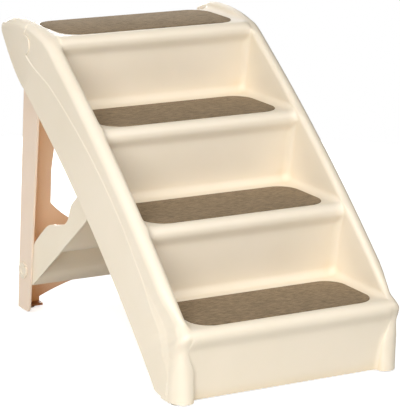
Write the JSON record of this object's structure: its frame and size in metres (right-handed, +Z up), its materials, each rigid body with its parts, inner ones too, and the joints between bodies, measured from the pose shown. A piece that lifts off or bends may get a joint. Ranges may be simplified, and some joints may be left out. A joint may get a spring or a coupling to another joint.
{
  "type": "folding pet stairs",
  "caption": "Folding moulded pet stairs with carpeted treads, high side rails, a windowed rear leg frame that swings under the steps and a brace that holds it open.",
  "frame": {"origin": "centre of the footprint on the floor", "axes": "+X across the treads to the right of a pet that climbs, +Y from the lowest tread towards the rear leg, +Z up"},
  "size_m": [0.416, 0.654, 0.5105],
  "materials": {
    "shell": "satin moulded polypropylene",
    "leg_shell": "satin moulded polypropylene",
    "mat": "low-pile carpet",
    "rubber": "matt",
    "clip": "plain"
  },
  "bodies": {
    "stairs": {"stair_body": "shell", "tread_mat_1": "mat", "tread_mat_2": "mat", "tread_mat_3": "mat", "tread_mat_4": "mat", "hinge_pin_left": "shell", "hinge_pin_right": "shell", "hinge_clip_left": "clip", "hinge_clip_right": "clip", "front_foot_left": "rubber", "front_foot_right": "rubber"},
    "leg": {"rear_leg": "leg_shell", "brace_pin_left": "shell", "brace_pin_right": "shell", "rear_foot_left": "rubber", "rear_foot_right": "rubber"},
    "brace": {"brace": "shell"}
  },
  "joints": [
    {"name": "leg_fold", "type": "hinge", "parent": "stairs", "child": "leg", "pos_m": [0, 0.221, 0.472], "axis": [-1, 0, 0], "range_deg": [0, 46.5]},
    {"name": "brace_fold", "type": "hinge", "parent": "leg", "child": "brace", "pos_m": [0, 0.24368, 0.07264], "axis": [-1, 0, 0], "range_deg": [0, 41.4]}
  ],
  "couplings": [
    {"joint": "brace_fold", "follows": "leg_fold", "ratio": 0.889}
  ]
}
